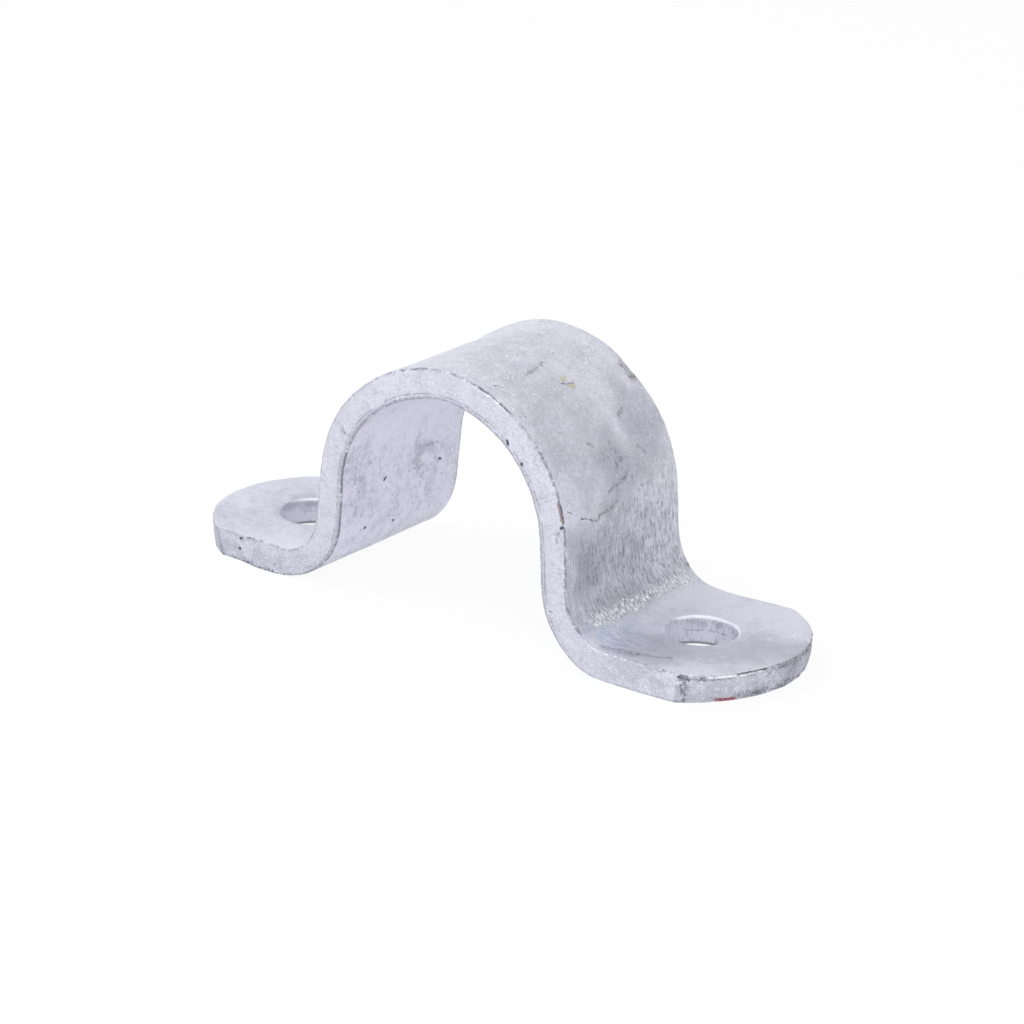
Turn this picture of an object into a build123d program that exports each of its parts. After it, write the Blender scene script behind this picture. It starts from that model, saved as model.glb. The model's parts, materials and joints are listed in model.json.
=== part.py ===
from build123d import *
import os
from math import cos, radians, sin

# Pipe clamp: one flat steel bar, bent over a pipe and bolted down through its two feet.
# Millimetres. The origin lies under the middle of the arch, on the plane that the feet stand on.
# +X runs along the bar from foot to foot, +Y along the pipe, +Z up.

# The pipe that it holds
pipe_diameter = 48.3
bore_clearance = 0.35  # room round the pipe inside the arch
grip = 1.15  # how far a loose pipe stands below the feet, which the bolts then draw down

# The bar
bar_width = 40.0
bar_thickness = 6.0
edge_radius = 0.5  # rolled edges of the bar, and the drawn edges of its cut ends

# The bends
leg_flare = 4.0  # degrees that each leg leans outward, from the arch to the foot
bend_radius = 10.0  # inside radius between leg and foot

# The feet
overall_length = 140.0
end_radius = 22.0  # plan radius of each rounded end
end_draft = 0.5  # a sheared end leans in by this much from the top face to the underside

# The punched bolt holes
bolt_spacing = 99.0
bolt_hole_diameter = 14.0
hole_edge_radius = 0.4  # top edge, drawn in by the punch
hole_breakout_depth = 3.6  # height of the torn lower part of the wall
hole_breakout = 0.3  # how much wider the hole's radius is at the underside

# Worked out from the sizes above
seat_radius = pipe_diameter / 2 + bore_clearance
arch_height = pipe_diameter / 2 - grip
bend_height = bar_thickness + bend_radius
flare = radians(leg_flare)
# From the arch's centre to the bend's centre, square to the leg and the same for both faces
across_leg = seat_radius + bar_thickness + bend_radius
leg_length = (arch_height + across_leg * sin(flare) - bend_height) / cos(flare)
bend_x = across_leg * cos(flare) + leg_length * sin(flare)


def bar_line(depth):
    # One face of the bar, seen from the side. A depth of 0 is the face against the pipe, and
    # the bar's thickness is the outer face. The arcs of the two faces share their centres.
    arch = CenterArc((0, arch_height), seat_radius + depth, leg_flare, 180 - 2 * leg_flare)
    radius = bend_radius + bar_thickness - depth
    bend = CenterArc((bend_x, bend_height), radius, 180 + leg_flare, 90 - leg_flare)
    leg = Line(arch @ 0, bend @ 0)
    foot = Line(bend @ 1, (overall_length / 2, depth))
    half = leg + bend + foot
    return arch + half + mirror(half, about=Plane.YZ)


def bent_bar():
    outline = bar_line(0) + bar_line(bar_thickness)
    for tip in (-overall_length / 2, overall_length / 2):
        outline += Line((tip, 0), (tip, bar_thickness))
    return extrude(Plane.XZ * make_face(outline), bar_width / 2, both=True)


def end_waste(side):
    # What the shear takes off beyond a rounded end. The end is part of a cone, narrower below.
    standing = (Align.CENTER, Align.CENTER, Align.MIN)
    block = Box(2 * end_radius, 2 * bar_width, bar_thickness, align=standing)
    tip = Cone(end_radius - end_draft, end_radius, bar_thickness, align=standing)
    arc_centre = side * (overall_length / 2 - end_radius)
    return Pos(arc_centre + side * end_radius, 0, 0) * block - Pos(arc_centre, 0, 0) * tip


def bolt_hole(side):
    # Half the hole's section, turned about its axis: rounded top edge, straight land, and the
    # torn part that widens to the underside.
    radius = bolt_hole_diameter / 2
    edge_bottom = bar_thickness - hole_edge_radius
    wall = Polyline(
        (0, bar_thickness),
        (0, 0),
        (radius + hole_breakout, 0),
        (radius, hole_breakout_depth),
        (radius, edge_bottom),
    )
    rim = CenterArc((radius + hole_edge_radius, edge_bottom), hole_edge_radius, 180, -90)
    section = make_face(wall + rim + Line(rim @ 1, (0, bar_thickness)))
    return Pos(side * bolt_spacing / 2, 0, 0) * revolve(Plane.XZ * section, Axis.Z)


strap = bent_bar()
for side in (-1, 1):
    strap -= end_waste(side)
strap = fillet(strap.edges(), edge_radius)
for side in (-1, 1):
    strap -= bolt_hole(side)

os.makedirs("parts", exist_ok=True)
export_step(strap, "parts/saddle_strap.step")
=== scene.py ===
import json
import math
import bmesh
import bpy
import numpy as np
from mathutils import Matrix, Vector, noise


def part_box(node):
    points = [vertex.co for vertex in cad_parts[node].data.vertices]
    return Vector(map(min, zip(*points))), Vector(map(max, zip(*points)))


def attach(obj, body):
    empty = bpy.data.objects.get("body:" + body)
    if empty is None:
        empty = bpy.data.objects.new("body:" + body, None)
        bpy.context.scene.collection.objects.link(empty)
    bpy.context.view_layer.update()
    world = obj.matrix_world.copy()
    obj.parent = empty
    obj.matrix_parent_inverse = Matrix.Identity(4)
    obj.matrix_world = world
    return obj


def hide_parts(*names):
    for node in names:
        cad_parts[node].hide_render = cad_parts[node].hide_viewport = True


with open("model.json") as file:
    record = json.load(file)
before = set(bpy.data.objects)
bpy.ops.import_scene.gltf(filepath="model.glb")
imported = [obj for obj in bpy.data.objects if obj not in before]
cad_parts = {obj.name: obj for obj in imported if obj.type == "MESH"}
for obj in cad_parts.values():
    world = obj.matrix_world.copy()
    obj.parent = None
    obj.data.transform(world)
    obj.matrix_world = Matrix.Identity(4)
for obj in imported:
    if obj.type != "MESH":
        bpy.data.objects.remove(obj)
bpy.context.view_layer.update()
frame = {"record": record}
mm = 0.001
noiseSeed = 7
mounts = {mount["name"]: mount for mount in frame["record"]["mounts"]}
seat = mounts["pipe_seat"]
bolts = mounts["bolt_holes"]
barLow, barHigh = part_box("saddle_strap")

# The strap, in metres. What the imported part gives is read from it, and the rest can be changed here.
strap = {
    "seatRadius": seat["dims"]["r_mm"] * mm,
    "archHeight": seat["pos_m"][2],
    "width": barHigh.y - barLow.y,
    "height": barHigh.z,
    "reach": 70 * mm,
    "boltX": bolts["dims"]["spacing_x_mm"] * mm / 2,
    "holeRadius": bolts["dims"]["hole_r_mm"] * mm,
    "legFlare": math.radians(4),
    "bendRadius": 10 * mm,
    "endRadius": 22 * mm,
    "endDraft": 0.5 * mm,
    "holeBreakout": 0.3 * mm,
    "holeBreakoutDepth": 3.6 * mm,
    "edgeWidth": 0.45 * mm,
    "endPoints": 150,
    "holePoints": 72,
    "archSteps": 172,
    "bendSteps": 44,
    "acrossSpacing": 0.8 * mm,
    "alongSpacing": 0.6 * mm,
    "edgeMargin": 1.2 * mm,
    "tipMargin": 0.3 * mm,
    "mergeGap": 0.02 * mm,
    "grid": 0.0001 * mm,
    "throughLoops": (0.7, 0.9, 1.1, 1.35, 2.0, 2.7, 3.4, 4.1, 4.7, 5.0, 5.25),
}
strap["thickness"] = strap["height"] - strap["archHeight"] - strap["seatRadius"]
strap["bendHeight"] = strap["thickness"] + strap["bendRadius"]
acrossLeg = strap["seatRadius"] + strap["bendHeight"]
flareSine = math.sin(strap["legFlare"])
flareCosine = math.cos(strap["legFlare"])
strap["legLength"] = (strap["archHeight"] + acrossLeg * flareSine - strap["bendHeight"]) / flareCosine
strap["bendX"] = acrossLeg * flareCosine + strap["legLength"] * flareSine

# The surface is worked in millimetres.
halfWidth = strap["width"] / 2 * 1000
barThickness = strap["thickness"] * 1000


def selectOnly(piece):
    bpy.ops.object.select_all(action="DESELECT")
    piece.select_set(True)
    bpy.context.view_layer.objects.active = piece


def startPiece(name):
    piece = bpy.context.object
    piece.name = name
    piece.data.name = name
    selectOnly(piece)
    bpy.ops.object.mode_set(mode="EDIT")
    return piece


def pick(kind, test):
    # Selects the faces or edges whose middle passes the test, and nothing else.
    mesh = bmesh.from_edit_mesh(bpy.context.object.data)
    bpy.ops.mesh.select_all(action="DESELECT")
    for part in getattr(mesh, kind):
        middle = sum((corner.co for corner in part.verts), Vector()) / len(part.verts)
        if test(middle):
            part.select_set(True)
    mesh.select_flush_mode()
    bmesh.update_edit_mesh(bpy.context.object.data)


def applyModifier(piece, kind, **settings):
    selectOnly(piece)
    modifier = piece.modifiers.new(kind.lower(), kind)
    for name, value in settings.items():
        setattr(modifier, name, value)
    bpy.ops.object.modifier_apply(modifier=modifier.name)


def inOrder(piece):
    # Sorts points and faces by their places, because Blender may leave them in another order each run,
    # and the cuts that follow would then come out a little differently.
    mesh = piece.data
    grid = strap["grid"]
    points = np.array([vertex.co for vertex in mesh.vertices])
    cells = np.round(points / grid)
    order = np.lexsort(cells.T)
    newPlace = np.argsort(order).tolist()
    faces = []
    for face in mesh.polygons:
        ring = [newPlace[corner] for corner in face.vertices]
        first = ring.index(min(ring))
        faces.append(ring[first:] + ring[:first])
    mesh.clear_geometry()
    mesh.from_pydata((cells[order] * grid).tolist(), [], sorted(faces))


def extrudeBy(x, z):
    bpy.ops.mesh.extrude_region_move(TRANSFORM_OT_translate={"value": (x, 0, z)})


def extrudeInSteps(x, z):
    steps = round(math.hypot(x, z) / strap["alongSpacing"])
    for _ in range(steps):
        extrudeBy(x / steps, z / steps)


def spinRound(x, z, angle, steps):
    bpy.ops.mesh.spin(steps=steps, angle=angle, center=(x, 0, z), axis=(0, -1, 0))


def bentBar():
    # The bar's section is drawn out along the foot, round the bends and over the pipe.
    overrun = 3 * mm
    footLength = strap["reach"] + overrun - strap["bendX"]
    turn = math.pi / 2 - strap["legFlare"]
    legRise = strap["legLength"] * flareCosine
    legRun = strap["legLength"] * flareSine
    start = (-strap["bendX"] - footLength, 0, strap["thickness"] / 2)
    bpy.ops.object.select_all(action="DESELECT")
    bpy.ops.mesh.primitive_plane_add(size=1, location=start, rotation=(0, math.pi / 2, 0))
    bar = startPiece("strapFinish")
    bpy.ops.mesh.select_all(action="SELECT")
    bpy.ops.object.mode_set(mode="OBJECT")
    bpy.ops.object.transform_apply(location=True, rotation=True)
    bpy.ops.object.mode_set(mode="EDIT")
    bpy.ops.transform.resize(value=(1, strap["width"], strap["thickness"]), center_override=start)
    for level in strap["throughLoops"]:
        bpy.ops.mesh.select_all(action="SELECT")
        bpy.ops.mesh.bisect(plane_co=(start[0], 0, level * mm), plane_no=(0, 0, 1))
    bpy.ops.mesh.select_all(action="SELECT")
    extrudeBy(footLength, 0)
    spinRound(-strap["bendX"], strap["bendHeight"], -turn, strap["bendSteps"])
    extrudeInSteps(legRun, legRise)
    spinRound(0, strap["archHeight"], 2 * turn, strap["archSteps"])
    extrudeInSteps(legRun, -legRise)
    spinRound(strap["bendX"], strap["bendHeight"], -turn, strap["bendSteps"])
    extrudeBy(footLength, 0)
    bpy.ops.mesh.select_all(action="SELECT")
    bpy.ops.mesh.remove_doubles(threshold=0.001 * mm)
    bpy.ops.mesh.normals_make_consistent(inside=False)
    bpy.ops.object.mode_set(mode="OBJECT")
    inOrder(bar)
    return bar


def drawnCircle(name, centreX, low, radius, points, fill):
    # A circle lying flat, ready to be drawn up into a cutting tool.
    bpy.ops.object.select_all(action="DESELECT")
    bpy.ops.mesh.primitive_circle_add(
        vertices=points, radius=radius, fill_type=fill, location=(centreX, 0, low)
    )
    tool = startPiece(name)
    bpy.ops.object.mode_set(mode="OBJECT")
    bpy.ops.object.transform_apply(location=True)
    bpy.ops.object.mode_set(mode="EDIT")
    bpy.ops.mesh.select_all(action="SELECT")
    return tool


def endShear(side):
    # Half a ring round the rounded end. Its bore narrows downward, which gives the end its draft.
    centreX = side * (strap["reach"] - strap["endRadius"])
    spare = 1 * mm
    slope = strap["endDraft"] / strap["thickness"]
    lowRadius = strap["endRadius"] - strap["endDraft"] - spare * slope
    highRadius = strap["endRadius"] + spare * slope
    tool = drawnCircle("endShear", centreX, -spare, lowRadius, strap["endPoints"], "NOTHING")
    bpy.ops.mesh.extrude_edges_move()
    bpy.ops.transform.resize(value=(2, 2, 1), center_override=(centreX, 0, -spare))
    bpy.ops.mesh.select_all(action="SELECT")
    extrudeBy(0, strap["thickness"] + 2 * spare)
    top = strap["thickness"]
    pick("edges", lambda at: at.z > top and math.hypot(at.x - centreX, at.y) < strap["endRadius"])
    widen = highRadius / lowRadius
    bpy.ops.transform.resize(value=(widen, widen, 1), center_override=(centreX, 0, top))
    bpy.ops.mesh.select_all(action="SELECT")
    bpy.ops.mesh.bisect(
        plane_co=(centreX, 0, 0), plane_no=(side, 0, 0), use_fill=True, clear_inner=True
    )
    bpy.ops.mesh.select_all(action="SELECT")
    bpy.ops.mesh.normals_make_consistent(inside=False)
    bpy.ops.object.mode_set(mode="OBJECT")
    return tool


def holePunch(side):
    # The land is straight, and below it the torn wall widens to the underside.
    centreX = side * strap["boltX"]
    spare = 1 * mm
    tornHeight = strap["holeBreakoutDepth"]
    lowRadius = strap["holeRadius"] + strap["holeBreakout"] * (1 + spare / tornHeight)
    narrow = strap["holeRadius"] / lowRadius
    tool = drawnCircle("holePunch", centreX, -spare, lowRadius, strap["holePoints"], "NGON")
    extrudeBy(0, tornHeight + spare)
    bpy.ops.transform.resize(value=(narrow, narrow, 1), center_override=(centreX, 0, tornHeight))
    extrudeBy(0, strap["thickness"] + spare - tornHeight)
    bpy.ops.mesh.select_all(action="SELECT")
    bpy.ops.mesh.normals_make_consistent(inside=False)
    bpy.ops.object.mode_set(mode="OBJECT")
    return tool


def cutWith(piece, tool):
    inOrder(tool)
    applyModifier(piece, "BOOLEAN", operation="DIFFERENCE", solver="EXACT", object=tool)
    bpy.data.objects.remove(tool)
    inOrder(piece)


def sliceAt(points, normal):
    # Adds a loop of edges wherever the plane meets the piece, so that its surface can be worked.
    for point in points:
        bpy.ops.mesh.select_all(action="SELECT")
        bpy.ops.mesh.bisect(plane_co=point, plane_no=normal)


def spaced(low, high, spacing):
    count = max(1, round((high - low) / spacing))
    return [low + (high - low) * step / count for step in range(count + 1)]


def refine(piece):
    selectOnly(piece)
    bpy.ops.object.mode_set(mode="EDIT")
    for level in strap["throughLoops"]:
        pick("faces", lambda at: abs(at.x) > strap["bendX"])
        bpy.ops.mesh.bisect(plane_co=(0, 0, level * mm), plane_no=(0, 0, 1))
    inner = strap["width"] / 2 - strap["edgeMargin"]
    sliceAt([(0, y, 0) for y in spaced(-inner, inner, strap["acrossSpacing"])], (0, 1, 0))
    first, last = strap["bendX"] + strap["alongSpacing"], strap["reach"] - strap["tipMargin"]
    for side in (-1, 1):
        stations = [(side * x, 0, 0) for x in spaced(first, last, strap["alongSpacing"])]
        sliceAt(stations, (1, 0, 0))
    bpy.ops.object.mode_set(mode="OBJECT")
    inOrder(piece)
    bpy.ops.object.mode_set(mode="EDIT")
    bpy.ops.mesh.select_all(action="SELECT")
    bpy.ops.mesh.remove_doubles(threshold=strap["mergeGap"])
    bpy.ops.object.mode_set(mode="OBJECT")
    inOrder(piece)


def ease(value, low, high):
    # From 0 at the low end to 1 at the high end, without corners. The ends may be given in either order.
    step = np.clip((value - low) / (high - low), 0, 1)
    return step * step * (3 - 2 * step)


def near(value, middle, far, close):
    # 1 within the close distance of the middle and 0 beyond the far one.
    return ease(np.abs(value - middle), far, close)


def between(value, start, full, fade, end):
    # 1 from full to fade, and 0 before the start and after the end.
    return ease(value, start, full) * ease(value, end, fade)


def ridge(value, middle, width):
    # 1 along the middle, falling smoothly to both sides.
    return np.exp(-(((value - middle) / width) ** 2))


# Without a seed the vector noise takes its offsets from the clock, and each run would differ.
noise.seed_set(noiseSeed)


def waves(points, size, seed):
    # Three sets of smooth bumps of about the given size, from about -0.5 to 0.5.
    shifted = points / size + seed * 17.3
    return np.array([noise.noise_vector(point) for point in shifted]).T * 0.7


def markOffsets(places, lines):
    # From the nearest point of the nearest line to each place. Far from every line it is only long.
    nearest = np.full(len(places), 1.0)
    offsets = np.full((len(places), 3), 9.0)
    for line in lines:
        for start, end in zip(line, line[1:]):
            run = np.subtract(end, start)
            share = np.clip((places - start) @ run / (run @ run), 0, 1)
            gap = places - start - share[:, None] * run
            size = np.linalg.norm(gap, axis=1)
            closer = size < nearest
            offsets[closer] = gap[closer]
            nearest[closer] = size[closer]
    return offsets


def patchTone(places, drift, patches):
    # How much darker the zinc is at each place, from soft patches with drifting edges.
    tone = np.zeros(len(places))
    for strength, centre, radii in patches:
        reach = np.linalg.norm((places + drift - centre) / radii, axis=1)
        tone += strength * ease(reach, 1.0, 0.25)
    return tone


def giveAttribute(mesh, name, values):
    attribute = mesh.attributes.new(name, "FLOAT_VECTOR", "POINT")
    attribute.data.foreach_set("vector", np.ascontiguousarray(values, dtype=np.float32).ravel())


def barPlaces(points):
    # How far along the bar from the crown each point lies, how far out from the pipe side, and which
    # way is out.
    size = {name: strap[name] * 1000 for name in ("seatRadius", "archHeight", "thickness", "bendHeight")}
    legLength, bendX = strap["legLength"] * 1000, strap["bendX"] * 1000
    turn = math.pi / 2 - strap["legFlare"]
    middle = size["seatRadius"] + size["thickness"] / 2
    bendMiddle = size["bendHeight"] - size["thickness"] / 2
    aside = np.abs(points[:, 0])
    above = points[:, 2] - size["archHeight"]
    down = aside * flareSine - above * flareCosine
    outLeg = aside * flareCosine + above * flareSine
    inBend = (bendX - aside, size["bendHeight"] - points[:, 2])
    archEnd = middle * turn
    legEnd = archEnd + legLength
    bendEnd = legEnd + bendMiddle * turn
    parts = [aside > bendX, down < 0, down <= legLength]
    along = np.select(
        parts,
        [bendEnd + aside - bendX, middle * np.arctan2(aside, above), archEnd + down],
        legEnd + bendMiddle * (turn - np.arctan2(*inBend)),
    )
    out = np.select(
        parts,
        [points[:, 2], np.hypot(aside, above) - size["seatRadius"], outLeg - size["seatRadius"]],
        size["bendHeight"] - np.hypot(*inBend),
    )
    level = np.zeros(len(points))
    fromAxis, fromBend = np.hypot(aside, above), np.hypot(*inBend)
    outX = np.select(parts, [level, aside / fromAxis, level + flareCosine], inBend[0] / fromBend)
    outZ = np.select(parts, [level + 1, above / fromAxis, level + flareSine], inBend[1] / fromBend)
    leftOrRight = np.where(points[:, 0] < 0, -1, 1)
    outward = np.stack([outX * leftOrRight, level, outZ], 1)
    return along * leftOrRight, out, outward


def rimGaps(points):
    # How far each point of a foot lies from the end's outline and from the hole, up to a few millimetres.
    most = 8
    aside = np.abs(points[:, 0])
    endRadius = strap["endRadius"] * 1000
    height = np.clip(points[:, 2] / (strap["thickness"] * 1000), 0, 1)
    centre = strap["reach"] * 1000 - endRadius
    outline = endRadius - strap["endDraft"] * 1000 * (1 - height)
    endGap = np.where(aside > centre, outline - np.hypot(aside - centre, points[:, 1]), most)
    torn = np.clip(1 - points[:, 2] / (strap["holeBreakoutDepth"] * 1000), 0, 1)
    hole = (strap["holeRadius"] + strap["holeBreakout"] * torn) * 1000
    low = points[:, 2] < strap["thickness"] * 1000 + 1
    toHole = np.hypot(aside - strap["boltX"] * 1000, points[:, 1]) - hole
    holeGap = np.where(low & (aside > strap["bendX"] * 1000), toHole, most)
    return np.clip(endGap, 0, most), np.clip(holeGap, 0, most)


# Places are in millimetres: along the bar from the crown, across it, and out from its pipe side. A patch
# has a strength, a middle and radii, a spot has a middle and radii, and a line runs through its points.
marks = {
    "patches": (
        (0.5, (33, 2, 6), (9, 10, 2)),
        (0.24, (24, -8, 6), (18, 18, 2)),
        (0.42, (26, 14, 6), (13, 10, 2)),
        (0.12, (27, -15, 6), (13, 8, 2)),
        (0.42, (48, -14, 6), (12, 9, 2)),
        (0.3, (46, -3, 6), (12, 14, 2)),
        (0.3, (61, -6, 6), (8, 18, 2)),
        (0.12, (6, 0, 6), (16, 24, 3)),
        (-0.1, (48, 14, 6), (12, 10, 2)),
        (0.32, (78, -20, 3), (14, 2, 5)),
        (0.48, (78, -12, 6), (14, 10, 2)),
        (0.4, (92, -2, 6), (12, 15, 2)),
        (-0.14, (76, 14, 6), (16, 9, 2)),
        (0.3, (-43, 5, 0), (5, 4, 2)),
        (0.22, (-42, 10, 0), (2.5, 5, 2)),
        (0.08, (-50, 12, 0), (9, 9, 2)),
        (0.18, (-42, -16, 0), (16, 6, 2)),
        (0.28, (-74, -20, 2.5), (13, 2, 5)),
        (0.12, (-84, -20, 2.5), (8, 2, 5)),
        (0.3, (-82, -20, 0), (9, 2, 2.4)),
        (0.12, (-82, 0, 6), (22, 24, 3)),
        (0.25, (-86, 3, 3.6), (3, 7, 5)),
        (-0.26, (-28, 0, 0), (12, 22, 2)),
        (0.5, (97.5, -6, 1), (4, 7, 1.6)),
        (0.45, (99.5, 3, 3), (4, 12, 5)),
    ),
    "pits": (
        ((18.8, -20, 1.3), (19.4, -20, 1)),
        ((24.4, -20, 1.1), (24.6, -20, 1)),
        ((-80.9, -20, 5.3), (-81, -20, 5.2)),
        ((-81.2, -20, 2.9), (-81.3, -20, 2.8)),
        ((-88.6, -20, 4.9), (-88.2, -20, 5.1)),
        ((-45.6, 12.7, 0), (-45.7, 13.3, 0)),
        ((-55.1, -1.1, 0), (-55.2, -0.8, 0)),
        ((-54, -10.8, 0), (-54.1, -10.5, 0)),
        ((-45.1, -6, 0), (-44.6, -5.4, 0)),
        ((38.2, -20, 5.4), (38.3, -20, 5.2)),
        ((86.6, -20, 5.5), (86.8, -20, 5.3)),
    ),
    "scratches": (
        ((9.4, -16.5, 6), (9.8, -15.7, 6), (10.7, -15.2, 6)),
        ((17.6, -17.2, 6), (18.2, -18, 6)),
        ((14.6, -1, 6), (14.9, 0.2, 6), (15.1, 2.2, 6)),
        ((35.8, -18.2, 6), (36.2, -17.4, 6), (36.7, -16, 6)),
        ((37.7, -14.9, 6), (38.3, -13, 6), (38.9, -11.4, 6), (39.7, -9.2, 6)),
        ((54.8, -20, 1), (55.4, -20, 2)),
        ((33.4, -20, 5.8), (35.6, -20, 6), (38.4, -20, 5.7)),
        ((37.9, -20, 5.4), (38.5, -20, 4.9)),
        ((-5.6, -20, 6), (-5.6, -20, 5.2)),
        ((-45, -6.3, 0), (-44.3, -4.8, 0)),
    ),
    "scuffs": (
        ((9.9, -6.7, 6), (9.5, -3.4, 6), (9.2, -1.3, 6), (8.6, 0.8, 6)),
        ((33.7, 3.4, 6), (35, 1.1, 6), (35.3, -2.3, 6), (36, -4.3, 6)),
        ((39.7, -9.2, 6), (39.4, -8.4, 6), (38.8, -5.2, 6), (38.1, -2, 6)),
        ((26.4, -5.6, 6), (27.2, -4.5, 6)),
        ((30.5, 8.6, 6), (32.1, 10.5, 6)),
        ((23.2, 9.4, 6), (24.4, 7, 6)),
        ((39.4, -20, 4.2), (41.1, -20, 4)),
        ((-29.7, -20, 3.3), (-30, -20, 2.1)),
        ((68, -18.6, 6), (76, -16, 6)),
        ((72, -18.4, 6), (82, -14.5, 6)),
        ((-41, 8, 0), (-41.6, 11.9, 0)),
    ),
    "hairlines": (
        ((9.9, -6.7, 6), (9.5, -3.4, 6), (9.2, -1.3, 6), (8.6, 0.8, 6)),
        ((1.6, 6, 6), (2.3, 7.4, 6)),
        ((0.4, 9.9, 6), (1.6, 10.6, 6)),
        ((1, -1.1, 6), (0.2, 2.5, 6)),
        ((6.2, 6.3, 6), (8.3, 5.5, 6), (7.9, 8.7, 6)),
        ((9.4, 14, 6), (10.6, 13.7, 6)),
        ((2.5, -4.4, 6), (1.2, -0.8, 6), (0.5, 4.4, 6)),
        ((-37.2, -15.9, 0), (-39.5, -15.1, 0), (-41.1, -14.2, 0)),
        ((-44.7, -17.1, 0), (-42.2, -13.2, 0)),
        ((-43.5, -17.4, 0), (-41.5, -14, 0)),
        ((-45.4, 10.6, 0), (-47.5, 17.9, 0)),
        ((-25.4, -14, 0), (-25, -11.7, 0), (-24.1, -11.7, 0)),
        ((-21.4, -19, 0), (-24.7, -7, 0)),
        ((38.1, 5.1, 6), (37.2, 8, 6), (38.1, 11, 6), (37.6, 14.8, 6)),
        ((66, -17, 6), (72, -13.5, 6), (77, -12.8, 6)),
        ((-72.1, -20, 5.8), (-72, -20, 1.3)),
    ),
    "pool": ((67, -13, 6), (10, 8.5, 1.5)),
    "crumbs": ((13, 5, 6), (14, 18, 3)),
    "chips": (((12.6, -20, 5.8), (0.7, 0.8, 0.7)), ((10.6, -20, 5.7), (0.6, 0.7, 0.6))),
    "brown": ((17.3, 19, 6), (3.2, 2.8, 1.8)),
    "olive": (((13.6, 0.6, 6), (0.9, 1.9, 1)), ((15.6, 0.9, 6), (0.8, 1.9, 1))),
    "rust": (33.4, 34, 37, 37.6),
    "red": (92.4, 93, 95, 95.8),
}

# Lengths in millimetres. A range gives where something starts, is full, fades and ends along the bar. A
# seam runs from one place to another along the bar, with its depth, on the front or back edge.
wear = {
    "lumps": 0.11,
    "ripple": 0.06,
    "grain": 0.028,
    "edgeWaves": 0.16,
    "footStart": 66,
    "archEnd": (46, 38),
    "archSpread": 0.5,
    "bendRange": (48, 53, 68, 74),
    "bendSpread": 0.7,
    "lipEnd": (68, 60),
    "lipHeight": 0.02,
    "creaseLevel": 1.0,
    "creaseWidth": 0.2,
    "creaseDepth": 0.13,
    "burrHeight": 0.06,
    "nickDepth": 0.2,
    "grooveLevel": 4.95,
    "grooveWidth": 0.24,
    "grooveDepth": 0.4,
    "wedgeRange": (-13, -11.5, -8, -5.5),
    "bellyLevel": 3.2,
    "bellyWidth": 1.1,
    "bellyHeight": 0.12,
    "rollDepth": 0.35,
    "pitDepth": 0.22,
    "roughCorner": (86.2, 86.6, 88.1, 88.8),
    "cornerDepth": 0.28,
    "cornerSquare": 1.1,
    "endLift": 0.12,
    "leftEndShare": 0.45,
    "leftCorner": 1.2,
    "leftLonger": 0.2,
    "leftWider": 0.28,
    "rightSkew": 0.1,
    "rightBack": 0.5,
    "rightCorner": 0.6,
    "poolHeight": 0.14,
    "holeWorn": 0.4,
    "holeFoot": 0.8,
    "leftHoleAside": (0.3, 0.5, 0),
    "leftDrag": 0.6,
    "leftTwist": 0.35,
    "shoulderSet": 0.85,
    "crownSet": 0.75,
    "backSet": 0.3,
    "bendWide": 0.6,
    "bendBulge": 0.55,
    "seamLevel": 5.72,
    "seamWidth": 0.2,
    "seams": (
        (-9.5, -5.5, 0.3, -1),
        (1, 6, 0.18, -1),
        (6.5, 16, 0.32, -1),
        (26, 34, 0.2, -1),
        (33.5, 38.5, 0.42, -1),
        (38.5, 56, 0.24, -1),
        (-20, -12, 0.2, 1),
        (14.5, 18, 0.4, 1),
        (30, 44, 0.2, 1),
    ),
}


class BarPoints:
    # Every point of the bar: its place along, across and out, the noise there, and how far it moves.
    # Lengths are in millimetres.
    def __init__(self, mesh):
        points = np.empty(len(mesh.vertices) * 3)
        normals = points.copy()
        mesh.vertices.foreach_get("co", points)
        mesh.vertices.foreach_get("normal", normals)
        self.points = points.reshape(-1, 3) * 1000
        self.normals = normals.reshape(-1, 3)
        self.moved = np.zeros_like(self.points)
        self.along, self.out, self.outward = barPlaces(self.points)
        self.across = self.points[:, 1].copy()
        self.reach = np.abs(self.along)
        self.aside = np.abs(self.across)
        self.side = np.sign(self.across)
        self.front = self.across < 0
        self.right = self.along > 0
        self.endGap, self.holeGap = rimGaps(self.points)
        self.big, self.large, self.middling = waves(self.points, 7, 1)
        self.small, self.tiny, _ = waves(self.points, 2.6, 2)
        self.grain, self.crumb, self.chip = waves(self.points, 1.3, 3)
        edgePlaces = np.stack([self.along, self.side * 40, self.out * 0.3], 1)
        self.swing, self.patchy, _ = waves(edgePlaces, 9, 4)
        self.cutFace = ease(self.aside, 19.35, 19.75) * ease(self.endGap, 0.0, 0.5)
        self.endFace = ease(self.endGap, 0.4, 0.1)
        self.lipRange = near(self.along, -2, *wear["lipEnd"])
        underFoot = (self.out < 0.3) & (self.reach > wear["footStart"])
        self.loose = np.where(underFoot, 0, 1)

    def swell(self, height):
        # Moves the surface outwards by the height at each point.
        self.moved += self.normals * height[:, None]


def addLumps(at):
    # Lumps of zinc all over, and waves along the cut faces. The feet stay flat underneath.
    lumps = at.big * wear["lumps"] + at.small * wear["ripple"] + at.grain * wear["grain"]
    at.swell(lumps * at.loose)
    at.moved[:, 1] += at.cutFace * at.swing * wear["edgeWaves"]


def addSpread(at):
    # Bending spreads the pressed side of the bar and draws the other side in.
    arch = ease(at.reach, *wear["archEnd"])
    bend = between(at.reach, *wear["bendRange"])
    spread = 0.5 - at.out / barThickness
    spread = spread * (arch * wear["archSpread"] - bend * wear["bendSpread"])
    at.moved[:, 1] += at.across / halfWidth * spread * ease(at.aside, 14, halfWidth)


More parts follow.
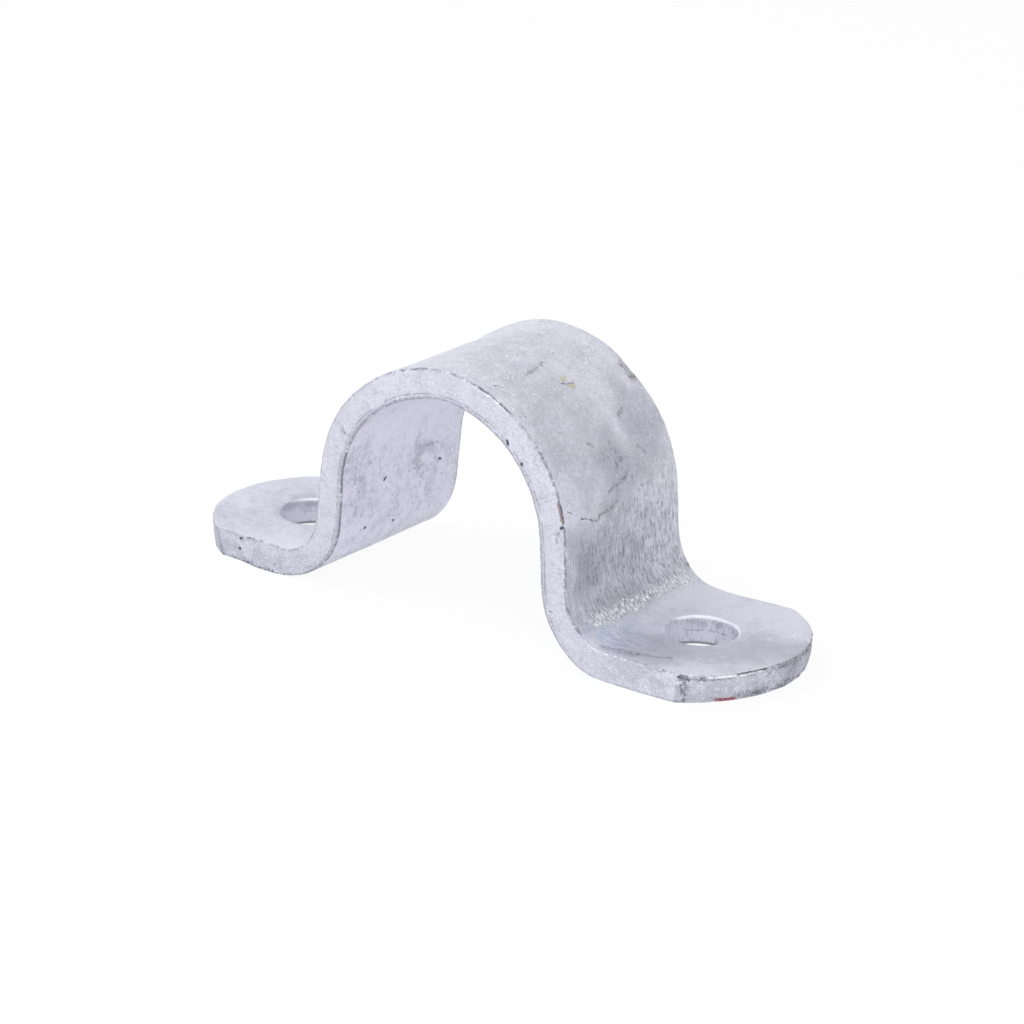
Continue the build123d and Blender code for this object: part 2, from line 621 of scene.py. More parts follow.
def addLip(at):
    # The lip along the pipe side of each cut face, with its crease, and the burr round its edge.
    patchy = ease(at.patchy, -0.35, 0.1)
    crease = ridge(at.out, wear["creaseLevel"], wear["creaseWidth"]) * wear["creaseDepth"]
    lip = ease(at.out, 0.95, 0.35) * wear["lipHeight"]
    at.moved[:, 1] += at.side * at.cutFace * at.lipRange * patchy * (lip - crease)
    burr = ease(at.aside, 18.9, 19.7) * ease(at.out, 0.6, 0.1) * at.lipRange
    burr = burr * (0.5 + 0.5 * patchy + at.tiny) * wear["burrHeight"]
    at.swell(burr * at.loose)


def addSeams(at):
    # A folded seam along parts of the upper edges.
    seam = np.zeros(len(at.along))
    for start, end, depth, side in wear["seams"]:
        inside = between(at.along, start - 0.6, start + 0.6, end - 0.6, end + 0.6)
        seam = np.maximum(seam, inside * depth * (at.side == side))
    seam *= 0.55 + 0.45 * ease(at.crumb, -0.3, 0.2)
    edge = ridge(at.out, wear["seamLevel"], wear["seamWidth"]) * ease(at.aside, 19.2, 19.6)
    at.swell(-edge * seam)


def addNicks(at):
    # Small nicks and chips wherever the surface turns, most of them on the front's upper edge.
    upOrDown = np.maximum(ease(at.out, 0.5, 0.2), ease(at.out, 5.5, 5.8))
    turn = np.maximum(ease(at.aside, 19.5, 19.75), at.endFace) * upOrDown
    nicks = ease(at.chip, 0.14, 0.42) * turn * np.where(at.front & (at.out > 3), 1, 0.4)
    at.swell(-nicks * wear["nickDepth"] * at.loose)


def roughenEnds(at):
    # The sheared ends: a groove under the top edge, a belly, a rolled lower edge and a rough corner.
    ragged = np.clip(0.6 + 1.4 * at.middling + 1.2 * at.crumb, 0.05, 1.2)
    wedge = between(at.across, *wear["wedgeRange"]) * at.right
    groove = ridge(at.out, wear["grooveLevel"] + 0.65 * wedge, wear["grooveWidth"])
    groove = groove * wear["grooveDepth"] * np.maximum(ragged, wedge * 1.4)
    belly = ridge(at.out, wear["bellyLevel"], wear["bellyWidth"]) * wear["bellyHeight"] * (0.7 + at.tiny)
    rolled = ease(at.out, 1.8, 0.0) * (0.7 + 0.8 * at.tiny) * wear["rollDepth"]
    pitted = ease(at.tiny, 0.0, 0.3) * wear["pitDepth"]
    share = np.where(at.right, 1.0, wear["leftEndShare"])
    rough = between(at.reach, *wear["roughCorner"]) * at.front
    rough = rough * share * wear["cornerDepth"] * (0.7 + 1.6 * at.chip)
    height = (belly - groove - rolled - pitted) * share - rough
    at.moved += at.normals * [1, 1, 0.15] * (at.endFace * height)[:, None]
    lift = ease(at.endGap, 2.6, 0.0) * ease(at.out, 4.2, 0.0) * ease(at.reach, 84, 88)
    lift = lift * np.where(at.right, 1, 0.25) * (1 + 0.5 * at.tiny)
    at.moved[:, 2] += lift * wear["endLift"]


def skewEnds(at):
    # The ends were sheared a little askew and not quite alike, and the right one is fuller at its back.
    x = at.points[:, 0]
    nearRim = ease(at.endGap, 4, 0) * ease(at.across, -15, -halfWidth)
    squared = nearRim * (1 - at.out / barThickness) * ease(at.along, 78, 84)
    at.moved[:, 0] += squared * wear["cornerSquare"]
    at.moved[:, 0] -= nearRim * ease(at.along, -78, -84) * wear["leftCorner"]
    bow = np.where(at.front, 1, 0.45) * (at.across / halfWidth) ** 2
    at.moved[:, 0] += ease(x, 47, 56) * at.across * (1 - bow) * wear["rightSkew"]
    at.moved[:, 0] -= ease(x, -50, -60) * wear["leftLonger"]
    at.moved[:, 1] += ease(at.along, -62, -72) * ease(at.across, 6, halfWidth) * wear["leftWider"]
    backRim = ease(x, 50, 60) * ease(at.across, 2, 14) * wear["rightBack"]
    backRim += between(x, 46, 55, 55, 65) * ease(at.across, 6, 18) * wear["rightCorner"]
    at.moved[:, :2] += backRim[:, None] * [0.1, 1]


def workHoles(at):
    # Zinc that ran together on the right foot and at the foot of its hole. The left hole was punched a
    # little off its place, and its entry is worn.
    pool = np.hypot((at.along - 68) / 8.5, (at.across + 13.5) / 6.5)
    pool = ease(pool, 1.0, 0.55) * (at.out > 5.9)
    at.moved[:, 2] += pool * wear["poolHeight"] * (0.75 + 0.8 * at.small)
    gathered = ease(at.holeGap, 1.0, 0.0) * ease(at.across, 1, 5) * ease(at.out, 3.2, 0.3) * at.right
    at.moved[:, 1] -= gathered * wear["holeFoot"]
    nearHole = ease(at.holeGap, 5, 0.8) * ~at.right
    at.moved += nearHole[:, None] * wear["leftHoleAside"]
    worn = ease(at.holeGap, 1.8, 0.0) * ease(at.across, 0, -4) * (at.out > 4) * ~at.right
    at.moved[:, 2] -= worn * wear["holeWorn"]


def setUneven(at):
    # What the press left uneven: the crown stands proud at its back, the left shoulder sits low, the left
    # leg is twisted, the right bend bulges, and the front of both feet's bends is drawn out low down.
    back = ease(at.across, 0, halfWidth)
    shift = near(at.along, 4, 18, 4) * back * wear["crownSet"]
    hollow = 0.6 * ease(at.across, 19, 13) - 0.2 * ease(at.across, -10, -18)
    hollow += 0.3 * near(at.across, 12, 6, 1)
    shift -= near(at.along, -13, 15, 5) * hollow * wear["shoulderSet"]
    shift += near(at.along, 35, 16, 7) * back * wear["backSet"]
    shift += near(at.along, 55, 9, 3) * ease(at.across, 4, halfWidth) * wear["backSet"]
    twist = at.across / halfWidth * np.where(at.front, 1, 0.4) * wear["leftTwist"]
    shift -= near(at.along, -58, 11, 4) * ease(at.out, 6, 2) * twist
    bulge = near(at.along, 62, 14, 3) * ease(at.across, 0, -halfWidth) * wear["bendBulge"]
    shift -= bulge * ease(at.out, barThickness, 0)
    at.moved += at.outward * shift[:, None]
    frontLow = ease(at.across, -8, -halfWidth) * (1.4 - at.out / 7.5)
    at.moved[:, 1] -= near(at.along, 73, 15, 4) * frontLow * wear["bendWide"]
    at.moved[:, 1] -= near(at.along, -74, 8, 2) * ease(at.out, 5, 0) * frontLow * wear["leftDrag"]


def wrought(bar):
    # The bar as the press and the zinc bath left it, with what its material needs to know of each point.
    mesh = bar.data
    at = BarPoints(mesh)
    level = np.zeros(len(at.along))
    places = np.stack([at.along, at.across, at.out], 1)
    giveAttribute(mesh, "barPlace", places)
    giveAttribute(mesh, "rimPlace", np.stack([at.endGap, at.holeGap, level], 1))
    for name in ("pits", "scratches", "scuffs", "hairlines"):
        giveAttribute(mesh, name, markOffsets(places, marks[name]))
    drift = np.stack([at.large * 6 + at.small * 2, at.middling * 6 + at.tiny * 2, level], 1)
    tone = patchTone(places, drift, marks["patches"])
    giveAttribute(mesh, "tone", np.stack([tone, tone, tone], 1))
    addLumps(at)
    addSpread(at)
    addLip(at)
    addSeams(at)
    addNicks(at)
    roughenEnds(at)
    skewEnds(at)
    workHoles(at)
    setUneven(at)
    points = at.points + at.moved
    points[:, 2] = np.maximum(points[:, 2], 0)
    points /= 1000
    mesh.vertices.foreach_set("co", points.ravel())
    mesh.update()


bar = bentBar()
for side in (-1, 1):
    cutWith(bar, endShear(side))
    cutWith(bar, holePunch(side))
print("bar bent and cut:", len(bar.data.polygons), "faces")
applyModifier(
    bar,
    "BEVEL",
    width=strap["edgeWidth"],
    segments=3,
    limit_method="ANGLE",
    angle_limit=math.radians(35),
    use_clamp_overlap=False,
)
inOrder(bar)
refine(bar)
wrought(bar)
bar.data.calc_loop_triangles()
print("bar worked:", len(bar.data.loop_triangles), "triangles")
selectOnly(bar)
bpy.ops.object.shade_smooth_by_angle(angle=math.radians(50))
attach(bar, "root")
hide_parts("saddle_strap")


class Shade:
    # One socket of a material's nodes, so that shader maths is written as ordinary maths.
    def __init__(self, tree, socket=None):
        self.tree = tree
        self.socket = socket

    def node(self, kind, settings=None, sockets=None, output=0):
        made = self.tree.nodes.new(kind)
        for name, value in (settings or {}).items():
            setattr(made, name, value)
        for name, value in (sockets or {}).items():
            if isinstance(value, Shade):
                self.tree.links.new(value.socket, made.inputs[name])
            else:
                made.inputs[name].default_value = value
        return Shade(self.tree, made.outputs[output] if made.outputs else None)

    def maths(self, operation, first, second=0.0):
        return self.node("ShaderNodeMath", {"operation": operation}, {0: first, 1: second})

    def __add__(self, other):
        return self.maths("ADD", self, other)

    def __radd__(self, other):
        return self.maths("ADD", other, self)

    def __sub__(self, other):
        return self.maths("SUBTRACT", self, other)

    def __rsub__(self, other):
        return self.maths("SUBTRACT", other, self)

    def __mul__(self, other):
        return self.maths("MULTIPLY", self, other)

    def __rmul__(self, other):
        return self.maths("MULTIPLY", other, self)

    def most(self, other):
        return self.maths("MAXIMUM", self, other)

    def size(self):
        return self.maths("ABSOLUTE", self)

    def eased(self, low, high):
        # From 0 at the low end to 1 at the high end. The ends may be given in either order.
        return self.node(
            "ShaderNodeMapRange",
            {"interpolation_type": "SMOOTHSTEP"},
            {"Value": self, "From Min": low, "From Max": high},
        )

    def near(self, middle, far, close):
        # 1 within the close distance of the middle and 0 beyond the far one.
        return (self - middle).size().eased(far, close)

    def between(self, start, full, fade, end):
        # 1 from full to fade, and 0 before the start and after the end.
        return self.eased(start, full) * self.eased(end, fade)

    def vector(self, operation, first, second, output=0):
        sockets = {0: first, "Scale" if operation == "SCALE" else 1: second}
        return self.node("ShaderNodeVectorMath", {"operation": operation}, sockets, output)

    def length(self):
        return self.vector("LENGTH", self, (0, 0, 0), 1)

    def stretched(self, scale):
        return self.vector("MULTIPLY", self, scale)

    def shifted(self, other):
        return self.vector("ADD", self, other)

    def cloud(self, size, detail=2.0, roughness=0.5, output=0):
        # Soft noise with features of about the given size.
        sockets = {"Vector": self, "Scale": 1 / size, "Detail": detail, "Roughness": roughness}
        return self.node("ShaderNodeTexNoise", None, sockets, output)

    def attribute(self, name):
        return self.node("ShaderNodeAttribute", {"attribute_name": name}, output=1)

    def split(self, vector):
        return [self.node("ShaderNodeSeparateXYZ", None, {0: vector}, part) for part in range(3)]

    def spot(self, centre, radii):
        # 1 in the middle of a soft patch and 0 outside it.
        scale = [1 / radius for radius in radii]
        offset = [-place / radius for place, radius in zip(centre, radii)]
        sockets = {0: self, 1: scale, 2: offset}
        scaled = self.node("ShaderNodeVectorMath", {"operation": "MULTIPLY_ADD"}, sockets)
        return scaled.length().eased(1.0, 0.25)

    def painted(self, colour, mask):
        # This colour with another laid over it where the mask is 1.
        sockets = {0: mask, 6: self, 7: colour}
        return self.node("ShaderNodeMix", {"data_type": "RGBA"}, sockets, 2)


def colour(red, green, blue):
    # A screen colour from 0 to 255, as the renderer takes it.
    linear = [
        level / 12.92 if level <= 0.04045 else ((level + 0.055) / 1.055) ** 2.4
        for level in (red / 255, green / 255, blue / 255)
    ]
    return (*linear, 1)


# The zinc's colours and gloss, how dark it is without marks, and the sizes of its mottling in millimetres.
zinc = {
    "broadSize": 15,
    "mediumSize": 3.4,
    "fineSize": 0.9,
    "gritSize": 0.3,
    "depth": 0.16,
    "pale": colour(216, 217, 229),
    "middle": colour(184, 185, 198),
    "dark": colour(132, 134, 149),
    "mark": colour(84, 84, 100),
    "bright": colour(244, 245, 252),
    "blue": colour(172, 186, 208),
    "lilac": colour(230, 228, 243),
    "brown": colour(134, 114, 94),
    "olive": colour(188, 183, 128),
    "red": colour(134, 40, 66),
    "metallic": 0.5,
    "roughness": 0.66,
}


class ZincPlaces:
    # What the zinc is painted from: places on the bar in millimetres, and noise at the coat's own sizes.
    def __init__(self, tree):
        start = Shade(tree)
        self.start = start
        self.place = start.attribute("barPlace")
        self.along, self.across, self.out = start.split(self.place)
        self.endGap, self.holeGap, _ = start.split(start.attribute("rimPlace"))
        self.tone = start.split(start.attribute("tone"))[0]
        self.aside = self.across.size()
        self.reach = self.along.size()

        # Noise from broad clouds to grit, and a shake for what isn't to be drawn straight.
        self.solid = start.vector("SCALE", start.node("ShaderNodeTexCoord", output=3), 1000.0)
        self.broad = self.solid.cloud(zinc["broadSize"], 2, 0.5) - 0.5
        self.medium = self.solid.cloud(zinc["mediumSize"], 4, 0.65) - 0.5
        self.fine = self.solid.cloud(zinc["fineSize"], 3, 0.7) - 0.5
        self.grit = self.solid.cloud(zinc["gritSize"], 1, 0.5) - 0.5
        self.shake = start.vector("SUBTRACT", self.solid.cloud(1.4, 2, 0.6, 1), (0.5, 0.5, 0.5))
        self.patchy = self.medium.eased(-0.1, 0.06)
        self.dashes = self.shaken(0.5).stretched((0.34, 6.5, 1)).cloud(1, 2, 0.6)
        folds = self.solid.cloud(4.5, 2, 0.6) + self.fine * 0.06
        self.wrinkles = folds.near(0.5, 0.03, 0.008) * (self.broad + self.fine).eased(-0.12, 0.08)

        self.cutFace = self.aside.eased(19.4, 19.8)
        self.outer = self.out.eased(5.4, 5.8) * (1 - self.cutFace)
        self.inner = self.out.eased(0.3, 0.1) * self.reach.eased(66, 60)
        self.endFace = self.endGap.eased(0.4, 0.1)
        self.sheared = self.cutFace.most(self.endFace)
        self.rightEnd = self.endFace * self.along.eased(80, 82)
        self.wall = self.holeGap.eased(0.4, 0.1)
        self.foot = self.reach.eased(66, 70) * self.outer
        self.lipRange = self.reach.eased(*wear["lipEnd"])
        legStart = (self.along + self.across * 0.15 + self.broad * 12).eased(34, 46)
        self.leg = legStart * self.along.eased(65, 58) * self.outer

    def shaken(self, amount):
        return self.place.shifted(self.start.vector("SCALE", self.shake, amount))

    def lineGap(self, name, sway):
        # How far the nearest line of one kind of mark lies, with the line swaying a little.
        moved = self.start.attribute(name).shifted(self.start.vector("SCALE", self.shake, sway))
        return moved.length()


def drawnLines(at):
    # Fine lines drawn down the right leg and through its bend.
    streaks = at.place.stretched((0.09, 1.5, 1)).cloud(1, 3, 0.65) - 0.5
    worked = (at.across + at.broad * 30).eased(-15, 0)
    drawn = at.dashes.eased(0.53, 0.66) * (0.35 + worked) - at.dashes.eased(0.46, 0.36) * 0.5
    return drawn * (at.medium + at.fine).eased(-0.3, 0.1) + streaks * 1.1


def coatDepth(at, drawn):
    # How dark the zinc is: patches, clouds, mottling and grit, and then what each face has of its own.
    medium, fine, grit = at.medium, at.fine, at.grit
    depth = zinc["depth"] + at.tone + at.broad * 0.5 + medium * (0.6 + at.endFace * 0.4)
    depth = depth + fine * (0.8 + at.endFace * 0.8 - at.foot * 0.3)
    depth = depth + grit * (0.8 + at.sheared * 0.5 - at.foot * 0.2)
    depth = depth + at.inner * (medium * 0.35 + fine * 0.1 + grit * 0.15)
    # Painted shade: the cut face below the lip's crease is darker, which tones down the reflection the lip
    # catches.
    depth = depth + at.out.eased(1.0, 0.8) * at.aside.eased(19.2, 19.6) * at.lipRange * 0.16
    # The bevelled upper and lower edges are darker with dark speckles: painted shade that tones down the
    # highlight they catch.
    bevel = at.aside.eased(19.5, 19.7) * (at.out - 3).size().eased(2.4, 2.6)
    depth = depth + bevel * (0.3 + fine * 1.6) + at.endFace * 0.36
    dull = (at.tone - 0.35).eased(0.0, 0.3)
    blotch = (medium * 1.3 + fine).eased(0.02, 0.14) * dull
    depth = depth + (blotch * 0.3 + dull * fine * 1.2) * (1 - at.leg) * (1 - at.foot)
    scores = at.solid.stretched((1, 1, 0.12)).cloud(0.3, 1, 0.6) - 0.5
    wall = scores * at.along.eased(-60, 60) * 1.6 + medium * 1.4 + fine * 0.8 - 0.18
    # High on the far side of each hole's wall the zinc is darker: painted shade under the rim.
    depth = depth + at.wall * (wall + at.out.eased(2.6, 5.2) * at.across.eased(-5, 3) * 0.4)
    hatch = at.place.stretched((2.4, 1, 0.3)).cloud(1, 1, 0.5) - 0.5
    cut = hatch * medium.eased(-0.05, 0.1) * 0.6 + 0.04 + at.along.eased(-52, -66) * 0.11
    depth = depth + at.cutFace * cut
    return depth + at.leg * (drawn + 0.06 + at.across.eased(-4, -15) * 0.06)


def paintPool(at, coat):
    # Smooth bluish zinc where it ran together on the right foot. Gives the paint and where the zinc is.
    swirl = at.shaken(4.0).spot(*marks["pool"]) * at.outer
    strokes = at.shaken(1.5).stretched((0.3, 1.9, 1)).cloud(1, 2, 0.6) - 0.5
    coat = coat.painted(zinc["blue"], swirl * (at.medium + strokes).eased(-0.2, 0.1) * 0.9)
    foam = (at.fine + at.grit * 0.5 - strokes).eased(0.0, 0.2)
    coat = coat.painted(zinc["pale"], swirl * foam * 0.9)
    nearSide = at.foot * at.across.eased(-9, -13) * at.along.between(60, 64, 76, 84)
    return coat.painted(zinc["dark"], nearSide * strokes.eased(0.05, 0.25) * 0.7), swirl


def paintBeads(at, coat):
    # Bright beads in a row along the root of the bend. Gives the paint and where the beads are.
    band = (at.along - at.across * 0.07 - 61.8 + at.medium * 5).size()
    beads = at.place.stretched((0.7, 3.1, 1)).cloud(1, 1, 0.5)
    coat = coat.painted(zinc["dark"], beads.eased(0.44, 0.36) * band.eased(3.0, 1.4) * at.outer * 0.6)
    beads = beads.eased(0.48, 0.52) * (band + at.fine * 4).eased(2.4, 1.6) * at.outer
    ends = at.across.eased(18.5, 17) * (at.across + at.medium * 8).eased(-17, -14)
    beads = beads * ends * at.fine.eased(-0.16, -0.02)
    return coat.painted(zinc["bright"], beads), beads


def paintBright(at, coat, ridges):
    # Bright flecks, wrinkles and chips, and painted highlights along the rims of the right foot and of the
    # holes.
    fine, medium = at.fine, at.medium
    crumbs = at.place.spot(*marks["crumbs"]) * 0.14 - 0.02
    flecks = at.grit.eased(0.08, 0.16) * (fine + at.broad * 0.7 + at.outer * crumbs).eased(0.0, 0.14)
    flecks = flecks * (1 - at.leg) * (1 - at.foot)
    # Painted highlight along the far rim of each hole.
    glint = at.holeGap.near(0.2, 0.36, 0.12) * at.out.eased(5.3, 5.6) * at.across.eased(0, 4)
    lip = at.out.near(5.5, 0.4, 0.2) * at.rightEnd * at.across.between(-17.5, -16, -8, -6)
    first, second = (at.place.spot(*chip) for chip in marks["chips"])
    chips = first.most(second).eased(0.2, 0.5).most(lip * fine.eased(-0.1, 0.02))
    # Painted highlight along the top front edge of the right foot.
    rim = at.out.near(5.75, 0.3, 0.1) * at.across.eased(-19.5, -19.75)
    rim = rim * at.along.between(62, 66, 72, 84) * (fine + medium).eased(-0.04, 0.1)
    coat = coat.painted(zinc["bright"], flecks * 0.7)
    coat = coat.painted(zinc["bright"], ridges * (0.4 + at.grit * 2))
    coat = coat.painted(zinc["bright"], glint * (fine + 0.1).eased(-0.16, 0.0) * 0.8)
    coat = coat.painted(zinc["bright"], chips * 0.9)
    return coat.painted(zinc["bright"], rim * 0.8)


def paintedEdgeShade(at):
    # Painted shade along the lip's creases, under the lip and in the folded seams, and darker along the
    # upper edges.
    fine, medium, out = at.fine, at.medium, at.out
    crease = (out + fine * 0.4).near(1.0, 0.15, 0.04) * at.cutFace * at.lipRange
    second = (out + fine * 0.35).near(0.5, 0.13, 0.03) * at.cutFace * at.lipRange
    underLip = (out + fine * 0.2).near(0.06, 0.14, 0.04) * at.aside.eased(19.3, 19.7)
    leftEdge = at.along.between(-74, -66, -34, -26) * at.across.eased(0, -1)
    topEdge = (out + fine * 0.2).near(5.9, 0.2, 0.05) * at.aside.eased(19.4, 19.7)
    shadeAndMarks = (crease * at.patchy * 0.5).most(second * medium.eased(0.06, -0.06) * 0.4)
    shadeAndMarks = shadeAndMarks.most(underLip * (medium + fine).eased(-0.2, 0.0) * (0.3 + leftEdge * 0.35))
    shadeAndMarks = shadeAndMarks.most(topEdge * (fine + medium).eased(0.04, 0.16) * 0.5)
    seamLine = (out + fine * 0.4).near(5.8, 0.24, 0.06) * (fine + medium * 0.7).eased(-0.14, 0.05)
    for begin, end, depth, side in wear["seams"]:
        run = at.along.between(begin - 0.5, begin + 0.5, end - 0.5, end + 0.5)
        run = run * (at.across * side).eased(19.3, 19.6)
        shadeAndMarks = shadeAndMarks.most(run * seamLine * min(1, depth * 2.2))
    return shadeAndMarks


def endShadeAndDirt(at):
    # Dark places on the right end: painted shade in the groove and wedge under its top edge, dark patches
    # along its lower edge, and a dark rough corner; and a stain low on the left foot's front.
    across, out, fine, grit = at.across, at.out, at.fine, at.grit
    crumbly = (fine + grit * 0.7).eased(-0.04, 0.1)
    # Painted shade in the groove under the top edge and in its wedge.
    groove = (out + fine * 0.7).near(5.05, 0.22, 0.05) * across.eased(-5, -9) * at.patchy
    wedge = (out + fine * 0.4).near(5.75, 0.32, 0.14) * across.between(-12.8, -12, -7, -6)
    first = (out + fine).near(5.3, 0.7, 0.3) * across.between(-20, -19.6, -17.4, -16.6)
    wide = (out + fine * 1.5).eased(4.2, 4.8) * across.eased(-8, -5)
    low = (out + at.medium * 3).near(0.9, 1.2, 0.3) * across.eased(-15, -10)
    broken = crumbly * first.most(wide * 0.8).most(low * 0.8)
    shadeAndMarks = at.rightEnd * (groove * 0.4).most(wedge * 0.95).most(broken * 0.8)
    rough = at.along.between(86.2, 86.7, 88.2, 88.8) * across.eased(-19, -19.4)
    rough = rough * (fine + grit * 0.7 - out * 0.012).eased(-0.12, 0.04)
    stain = out.near(0.4, 0.8, 0.1) * across.eased(-19.3, -19.7)
    stain = stain * at.along.between(-90, -78, -72, -66) * crumbly
    return shadeAndMarks.most(rough * 0.7).most(stain * 0.85)


def holeShadeAndDirt(at):
    # Dark where the holes' walls tore, and painted shadow at their foot where they meet the floor.
    torn = (at.out + at.medium * 2).near(3.0, 0.24, 0.06) * at.wall * at.patchy
    # Painted shadow at the foot of the wall.
    contact = at.out.eased(0.9, 0.5) * at.wall
    return (torn * 0.4).most(contact * 0.6)


def lineMarks(at):
    # Pits, scratches, scuffs and hairlines.
    fine, grit = at.fine, at.grit
    pit = (at.lineGap("pits", 0.25) + grit * 0.2).eased(0.38, 0.24)
    scratch = (at.lineGap("scratches", 1.1) + fine * 0.2).eased(0.22, 0.08) * fine.eased(-0.2, 0.0)
    scuff = (at.lineGap("scuffs", 2.2) + fine + grit * 0.5).eased(0.66, 0.1) * fine.eased(-0.25, 0.08)
    hairline = at.lineGap("hairlines", 1.7).eased(0.2, 0.05) * (fine + at.medium).eased(-0.16, 0.12)
    return pit.most(scratch * 0.9).most(scuff * 0.6).most(hairline * 0.5)


def paintStains(at, coat):
    # Rust on the front edge and at the back of the crown, two olive specks, and a touch of red on the
    # right end. Gives the paint and where the red is.
    fine, grit, out = at.fine, at.grit, at.out
    rust = (out + fine * 0.5).near(5.4, 0.26, 0.1) * at.across.eased(-19.5, -19.8)
    rust = rust * at.along.between(*marks["rust"]) * 0.8
    swayed = at.shaken(1.6)
    brown = swayed.spot(*marks["brown"])
    coat = coat.painted(zinc["mark"], brown * at.dashes.eased(0.44, 0.56) * 0.7)
    rust = rust.most(brown * (fine + at.medium).eased(-0.05, 0.12) * 0.75)
    coat = coat.painted(zinc["brown"], rust)
    first, second = (swayed.spot(*speck) for speck in marks["olive"])
    olive = first.most(second).eased(0.2, 0.6) * (fine + grit * 0.6).eased(-0.16, 0.0)
    coat = coat.painted(zinc["olive"], olive * 0.65)
    red = (out + fine * 0.8).eased(1.0, 0.7) * at.along.between(*marks["red"])
    red = red * at.endGap.eased(0.8, 0.5) * at.across.eased(0, -5) * (fine + grit).eased(-0.24, -0.1)
    return coat.painted(zinc["red"], red * 0.9), red


def zincMaterial():
    material = bpy.data.materials.new("zincCoat")
    material.use_nodes = True
    tree = material.node_tree
    tree.nodes.clear()
    at = ZincPlaces(tree)
    drawn = drawnLines(at)
    depth = coatDepth(at, drawn)
    ridges = at.wrinkles * at.outer * at.reach.eased(28, 12)

    coat = at.start.node("ShaderNodeRGB")
    coat.socket.default_value = zinc["pale"]
    coat = coat.painted(zinc["middle"], depth.eased(0.0, 0.6))
    coat = coat.painted(zinc["dark"], depth.eased(0.5, 1.4))
    # Painted light: where the inner faces are not dark they are lifted toward a pale lilac, standing in for
    # light bouncing under the arch.
    coat = coat.painted(zinc["lilac"], at.inner * depth.eased(0.5, 0.0) * 0.75)
    coat, swirl = paintPool(at, coat)
    coat, beads = paintBeads(at, coat)
    coat = paintBright(at, coat, ridges)
    # Real marks, pits and scratches together with the painted shade along edges, creases, the end's groove
    # and the holes' foot, laid on in one dark colour.
    shadeAndMarks = paintedEdgeShade(at).most(endShadeAndDirt(at)).most(holeShadeAndDirt(at)).most(lineMarks(at))
    shadeAndMarks = shadeAndMarks.most(at.wrinkles * at.inner * at.fine.eased(-0.1, 0.1) * 0.16)
    coat = coat.painted(zinc["mark"], shadeAndMarks)
    coat, red = paintStains(at, coat)

    height = at.medium * 0.12 + at.fine * (0.14 + at.sheared * 0.1) + at.grit * (0.08 + at.sheared * 0.08)
    height = height - drawn * at.leg * 0.18 + beads * 0.3 + at.medium * at.inner * 0.2 - shadeAndMarks * 0.1
    height = (height + ridges * 0.14) * (1 - swirl * 0.6)
    bump = at.start.node("ShaderNodeBump", None, {"Strength": 1.0, "Distance": 0.001, "Height": height})
    sockets = {
        "Base Color": coat,
        "Roughness": zinc["roughness"] + at.medium * 0.2 + at.fine * 0.2 - swirl * 0.12,
        "Metallic": zinc["metallic"] - depth * 0.12 - shadeAndMarks * 0.3 - red * 0.5,
        "Normal": bump,
    }
    shader = at.start.node("ShaderNodeBsdfPrincipled", None, sockets)
    at.start.node("ShaderNodeOutputMaterial", None, {"Surface": shader})
    return material


bar.data.materials.clear()
bar.data.materials.append(zincMaterial())
print("zinc coat made")

# The camera's place and lens were found from the strap's outlines in the photograph.
view = {
    "azimuth": 0.6164,
    "elevation": 0.374,
    "roll": 0.0295,
    "target": (0, 0, 25 * mm),
    "aside": 2.8016 * mm,
    "above": -6.2859 * mm,
    "distance": 504.0766 * mm,
    "focalLength": 2489.465 * 36 / 1024,
}


def placeCamera():
    data = bpy.data.cameras.new("camera")
    data.lens = view["focalLength"]
    data.sensor_width = 36
    data.clip_start = 0.01
    camera = bpy.data.objects.new("camera", data)
    bpy.context.scene.collection.objects.link(camera)
    azimuth, elevation, roll = view["azimuth"], view["elevation"], view["roll"]
    level = math.cos(elevation)
    back = Vector((math.sin(azimuth) * level, -math.cos(azimuth) * level, math.sin(elevation)))
    aside = Vector((math.cos(azimuth), math.sin(azimuth), 0))
    above = back.cross(aside)
    aside, above = (
        aside * math.cos(roll) + above * math.sin(roll),
        above * math.cos(roll) - aside * math.sin(roll),
    )
    turned = Matrix((aside, above, back)).transposed().to_4x4()
    place = Vector(view["target"]) + back * view["distance"]
    place += aside * view["aside"] + above * view["above"]
    camera.matrix_world = Matrix.Translation(place) @ turned
    bpy.context.scene.camera = camera


# The studio: a white floor, one large soft lamp high on the left, and an even white surround.
studio = {
    "surroundStrength": 0.66,
    "keyPlace": (-0.55, -0.4, 0.85),
    "keySize": 1.3,
    "keyPower": 6.5,
    "fillPlace": (0.6, -0.7, 0.2),
    "fillSize": 0.6,
    "fillPower": 3.2,
    "floorHalf": 3.0,
    "floorColour": (0.95, 0.95, 0.95, 1),
    "floorGlow": 0.92,
}


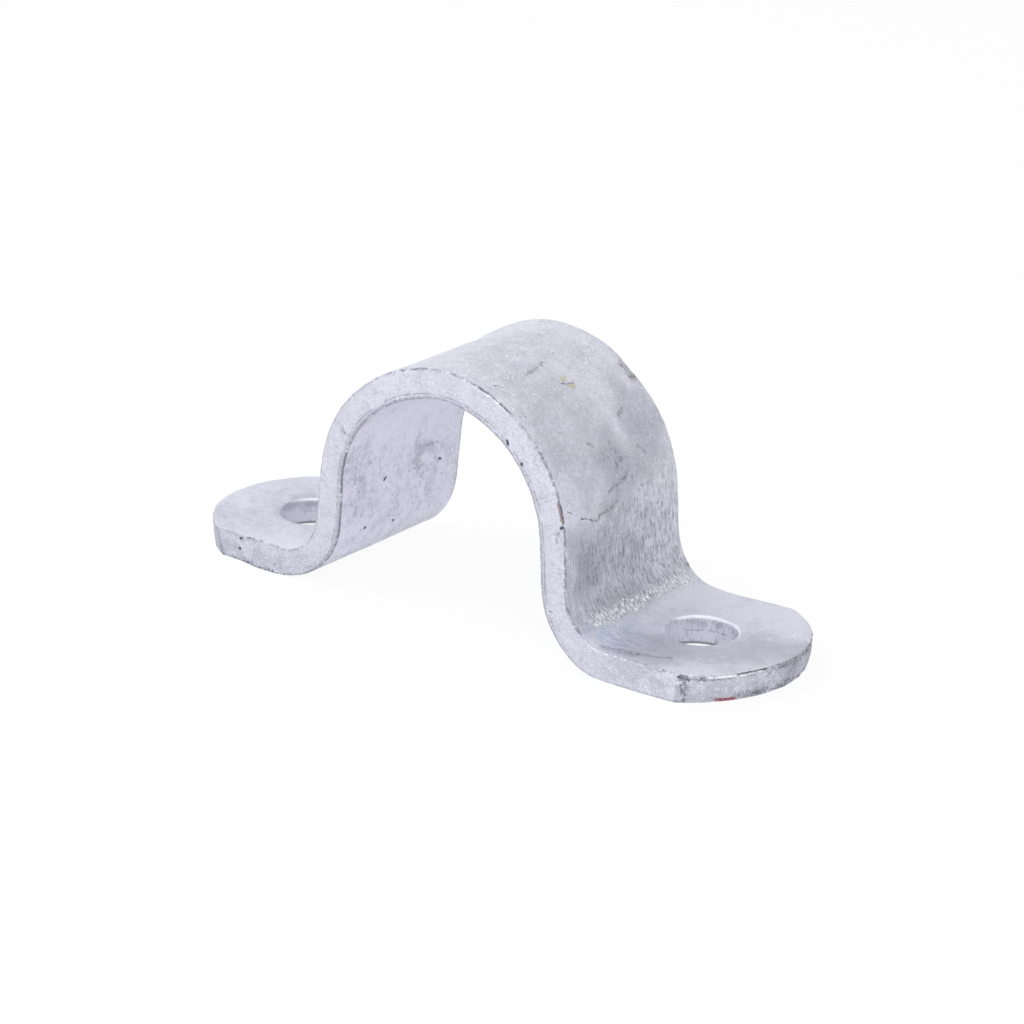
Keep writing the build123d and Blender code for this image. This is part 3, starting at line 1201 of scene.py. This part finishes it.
def softLamp(name, place, size, power):
    data = bpy.data.lights.new(name, "AREA")
    data.energy = power
    data.size = size
    lamp = bpy.data.objects.new(name, data)
    bpy.context.scene.collection.objects.link(lamp)
    place = Vector(place)
    lamp.matrix_world = Matrix.Translation(place) @ place.to_track_quat("Z", "Y").to_matrix().to_4x4()


def seenRays(start):
    # 1 for what the camera sees, directly or in gloss, and 0 for the light that falls on things.
    direct = start.node("ShaderNodeLightPath", output="Is Camera Ray")
    gloss = start.node("ShaderNodeLightPath", output="Is Glossy Ray")
    through = start.node("ShaderNodeLightPath", output="Is Transmission Ray")
    return direct.most(gloss).most(through)


def buildStudio():
    bpy.ops.object.select_all(action="DESELECT")
    bpy.ops.mesh.primitive_plane_add(size=2 * studio["floorHalf"], location=(0, 0, -0.05 * mm))
    floor = bpy.context.object
    floor.name = "floor"
    material = bpy.data.materials.new("floor")
    material.use_nodes = True
    material.node_tree.nodes.clear()
    start = Shade(material.node_tree)
    matt = start.node("ShaderNodeBsdfDiffuse", None, {"Color": studio["floorColour"]})
    glow = start.node("ShaderNodeEmission", None, {"Color": (1, 1, 1, 1), "Strength": 1.0})
    share = seenRays(start) * studio["floorGlow"]
    mixed = start.node("ShaderNodeMixShader", None, {0: share, 1: matt, 2: glow})
    start.node("ShaderNodeOutputMaterial", None, {"Surface": mixed})
    floor.data.materials.append(material)
    softLamp("keyLamp", studio["keyPlace"], studio["keySize"], studio["keyPower"])
    softLamp("fillLamp", studio["fillPlace"], studio["fillSize"], studio["fillPower"])
    surround = bpy.data.worlds.new("studio")
    surround.use_nodes = True
    surround.node_tree.nodes.clear()
    start = Shade(surround.node_tree)
    white = (1, 1, 1, 1)
    seen = start.node("ShaderNodeBackground", None, {"Color": white, "Strength": 1.0})
    lit = start.node("ShaderNodeBackground", None, {"Color": white, "Strength": studio["surroundStrength"]})
    mixed = start.node("ShaderNodeMixShader", None, {0: seenRays(start), 1: lit, 2: seen})
    start.node("ShaderNodeOutputWorld", None, {"Surface": mixed})
    bpy.context.scene.world = surround
    bpy.context.scene.view_settings.view_transform = "Standard"


placeCamera()
buildStudio()
print("studio lit")
